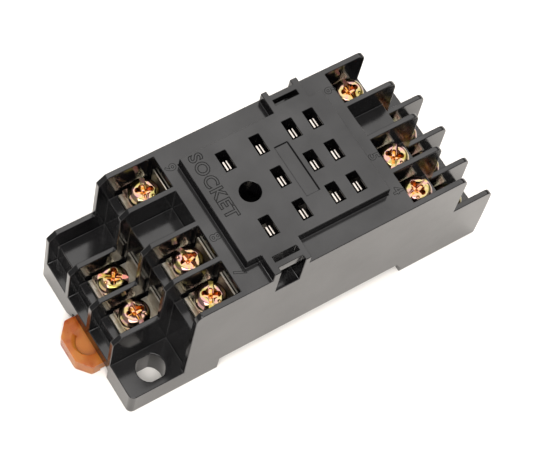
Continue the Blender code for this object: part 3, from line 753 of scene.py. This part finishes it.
@dataclass
class ClampWasher:
    """A square clamp plate whose front and back edges are curled up a little."""

    finishes: Finishes
    length: float = 5.0 * MM
    width: float = 5.6 * MM
    thickness: float = 0.5 * MM
    curl: float = 0.2 * MM
    curl_start: float = 0.62
    bore: float = 1.75 * MM
    corner: float = 0.5 * MM
    corner_share: float = 0.45
    edge: float = 0.09 * MM

    def master(self) -> bmesh.types.BMesh:
        """One washer about its own axis, its underside on Z = 0."""
        plate = bmesh.new()
        bmesh.ops.create_grid(plate, x_segments=16, y_segments=2, size=0.5)
        size = (self.length - self.edge, self.width - self.edge, 1.0)
        bmesh.ops.scale(plate, vec=size, verts=plate.verts)
        for point in plate.verts:
            share = abs(point.co.x) / (self.length / 2)
            point.co.z = self.curl * max(0.0, (share - self.curl_start) / (1 - self.curl_start)) ** 2
        grown = bmesh.ops.extrude_face_region(plate, geom=plate.faces[:])["geom"]
        top = [item for item in grown if isinstance(item, bmesh.types.BMVert)]
        bmesh.ops.translate(plate, vec=(0, 0, self.thickness), verts=top)
        far_x, far_y = self.length * self.corner_share, self.width * self.corner_share
        corners = [edge for edge in plate.edges
                   if abs(edge.verts[0].co.z - edge.verts[1].co.z) > self.thickness / 2
                   and all(abs(point.co.x) > far_x and abs(point.co.y) > far_y for point in edge.verts)]
        bmesh.ops.bevel(plate, geom=corners, offset=self.corner, offset_type="OFFSET", segments=3,
                        profile=0.5, affect="EDGES", clamp_overlap=True, material=-1)
        bore = bmesh.new()
        bmesh.ops.create_cone(bore, cap_ends=True, segments=40, radius1=self.bore, radius2=self.bore,
                              depth=self.thickness * 6)
        plate = carve(plate, [bore])
        soften(plate, self.edge, 40.0)
        return plate

    def build(self, number: int, master: bmesh.types.BMesh) -> None:
        """Builds one terminal's washer.

        Args:
            number: the terminal's number.
            master: the washer to copy.
        """
        node = f"clamp_washer_{number:02d}"
        place = middle_of(node)
        place.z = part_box(node)[0][2]
        shape = master.copy()
        bmesh.ops.translate(shape, vec=place, verts=shape.verts)
        body = f"washer_{number:02d}"
        make_piece(shape, f"clamp_plate_{number:02d}", self.finishes.washer, body, Slot.WASHER, node)


@dataclass
class Strap:
    """A plated strap, its stamped edges a little rounded."""

    finishes: Finishes
    edge: float = 0.08 * MM

    def build(self, number: int) -> None:
        """Builds one terminal's strap.

        Args:
            number: the terminal's number.
        """
        node = f"terminal_strap_{number:02d}"
        shape = cad_shape(node)
        soften(shape, self.edge)
        make_piece(shape, f"strap_{number:02d}", self.finishes.strap, "socket", Slot.STRAP, node)


@dataclass
class ContactClip:
    """A folded spring clip: two leaves that pinch a pin, then open into rounded lips."""

    finishes: Finishes
    thickness: float = 0.34 * MM
    half_width: float = 1.3 * MM
    foot: float = 0.98 * MM
    pinch: float = 0.38 * MM
    lip: float = 0.48 * MM
    lip_length: float = 0.25 * MM
    pinch_top: float = 1.1 * MM
    pinch_end: float = 1.5 * MM
    lean: float = 0.02 * MM
    bend: float = 0.1 * MM
    shoulder: float = 1.9 * MM
    flank: float = 1.4 * MM
    heel: float = 0.35 * MM
    tongue_length: float = 1.6 * MM
    tongue_half: float = 0.85 * MM
    tongue_shift: Pair = (0.16 * MM, -0.42 * MM)
    edge: float = 0.05 * MM

    def strip(self, height: float) -> Profile:
        """The strip's outer line from one lip, down round the foot, to the other.

        Args:
            height: the clip's height.

        Returns:
            (across, height) points.
        """
        leaf = [(self.lip, height), (self.lip, height - self.lip_length),
                (self.pinch, height - self.pinch_top), (self.pinch + self.lean, height - self.pinch_end),
                (self.foot - self.bend, self.shoulder), (self.foot, self.flank), (self.foot, self.heel),
                (self.foot - self.bend, self.bend), (self.foot - self.heel, 0.0)]
        return leaf + [(-x, z) for x, z in reversed(leaf)]

    def master(self, height: float) -> bmesh.types.BMesh:
        """One clip about its pin, its foot on Z = 0.

        Args:
            height: the clip's height.

        Returns:
            The clip.
        """
        shape = bmesh.new()
        line = [shape.verts.new((x, -self.half_width, z)) for x, z in self.strip(height - self.edge)]
        edges = [shape.edges.new(pair) for pair in zip(line, line[1:])]
        grown = bmesh.ops.extrude_edge_only(shape, edges=edges)["geom"]
        far = [item for item in grown if isinstance(item, bmesh.types.BMVert)]
        bmesh.ops.translate(shape, vec=(0, 2 * self.half_width, 0), verts=far)
        tongue = [point for point in shape.verts if point.co.z > height - self.tongue_length]
        bmesh.ops.scale(shape, vec=(1.0, self.tongue_half / self.half_width, 1.0), verts=tongue)
        bmesh.ops.translate(shape, vec=(*self.tongue_shift, 0.0), verts=tongue)
        bmesh.ops.recalc_face_normals(shape, faces=shape.faces)
        sole = min(shape.faces, key=lambda face: face.calc_center_median().z)
        if sole.normal.z > 0.0:
            bmesh.ops.reverse_faces(shape, faces=shape.faces[:])
        bmesh.ops.solidify(shape, geom=shape.faces[:], thickness=self.thickness)
        bmesh.ops.recalc_face_normals(shape, faces=shape.faces)
        soften(shape, self.edge, 60.0)
        return shape

    def build(self, number: int) -> None:
        """Builds one terminal's contact clip.

        Args:
            number: the terminal's number.
        """
        node = f"contact_clip_{number:02d}"
        low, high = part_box(node)
        place = middle_of(node)
        place.z = low[2]
        shape = self.master(high[2] - low[2])
        bmesh.ops.translate(shape, vec=place, verts=shape.verts)
        make_piece(shape, f"pin_clip_{number:02d}", self.finishes.spring, "socket", Slot.CLIP, node)


@dataclass
class Terminals:
    """The eleven terminals, each a strap, pin clip, clamp plate and screw."""

    finishes: Finishes
    slot_turns: tuple[float, ...] = (35.0, 70.0, 20.0, 12.0, 53.0, 89.0, 60.0, 280.0, 71.0, 89.0, -33.0)

    def build(self) -> None:
        """Builds every terminal."""
        screw, washer = ClampScrew(self.finishes), ClampWasher(self.finishes)
        strap, clip = Strap(self.finishes), ContactClip(self.finishes)
        screw_master, washer_master = screw.master(), washer.master()
        for number, turn in enumerate(self.slot_turns, start=1):
            strap.build(number)
            clip.build(number)
            washer.build(number, washer_master)
            screw.build(number, screw_master, turn)
        screw_master.free()
        washer_master.free()


@dataclass
class Studio:
    """A pale floor, soft lights and the camera."""

    floor_half: float = 1.5
    camera_place: Triple = (-0.115884, -0.108153, 0.319461)
    camera_turn: Triple = (26.10494, -7.72056, -32.02704)
    lens: float = 137.24
    shift: Pair = (0.00064, 0.00053)
    near_clip: float = 0.01
    sky_tint: Colour = (1.0, 0.99, 0.975)
    sky_strength: float = 0.5
    lamp_tint: Colour = (1.0, 0.975, 0.955)
    key_direction: Triple = (0.343, 0.315, 0.886)
    key_distance: float = 0.75
    key_size: float = 0.9
    key_power: float = 6.8
    front_direction: Triple = (-0.36, -0.37, 0.86)
    front_distance: float = 0.8
    front_size: float = 0.55
    front_power: float = 7.5

    def build_floor(self) -> None:
        """Lays the floor."""
        shape = bmesh.new()
        bmesh.ops.create_grid(shape, x_segments=4, y_segments=4, size=self.floor_half)
        mesh = bpy.data.meshes.new("studio_floor")
        shape.to_mesh(mesh)
        shape.free()
        mesh.materials.append(PaleFloor().build())
        floor = bpy.data.objects.new("studio_floor", mesh)
        bpy.context.scene.collection.objects.link(floor)

    def build_world(self) -> None:
        """Lights the room evenly."""
        world = bpy.data.worlds.new("studio_world")
        world.use_nodes = True
        sky = world.node_tree.nodes["Background"]
        sky.inputs["Color"].default_value = (*self.sky_tint, 1.0)
        sky.inputs["Strength"].default_value = self.sky_strength
        bpy.context.scene.world = world

    def softbox(self, name: str, direction: Vector, distance: float, size: float, power: float) -> None:
        """Hangs a square softbox that faces the object.

        Args:
            name: the light's name.
            direction: the way to it from the object.
            distance: how far off it hangs.
            size: the length of its side.
            power: its power in watts.
        """
        light = bpy.data.lights.new(name, "AREA")
        light.shape = "SQUARE"
        light.size = size
        light.energy = power
        light.color = self.lamp_tint
        lamp = bpy.data.objects.new(name, light)
        lamp.location = direction.normalized() * distance
        lamp.rotation_euler = direction.to_track_quat("Z", "Y").to_euler()
        bpy.context.scene.collection.objects.link(lamp)

    def build_camera(self) -> None:
        """Sets the camera up."""
        data = bpy.data.cameras.new("studio_camera")
        data.lens = self.lens
        data.shift_x, data.shift_y = self.shift
        data.clip_start = self.near_clip
        camera = bpy.data.objects.new("studio_camera", data)
        camera.location = self.camera_place
        camera.rotation_euler = Euler([math.radians(angle) for angle in self.camera_turn])
        bpy.context.scene.collection.objects.link(camera)
        bpy.context.scene.camera = camera

    def build(self) -> None:
        """Builds the whole studio."""
        self.build_floor()
        self.build_world()
        self.softbox("key_softbox", Vector(self.key_direction), self.key_distance, self.key_size,
                     self.key_power)
        self.softbox("front_softbox", Vector(self.front_direction), self.front_distance, self.front_size,
                     self.front_power)
        self.build_camera()
        bpy.context.scene.view_settings.view_transform = "Standard"


def main() -> None:
    """Builds the studio and the socket."""
    logging.basicConfig(level=logging.INFO, format="%(name)s %(message)s")
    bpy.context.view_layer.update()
    finishes = Finishes()
    Studio().build()
    Housing(finishes).build()
    LockSlide(finishes).build()
    Terminals(finishes).build()


if __name__ == "__main__":
    main()
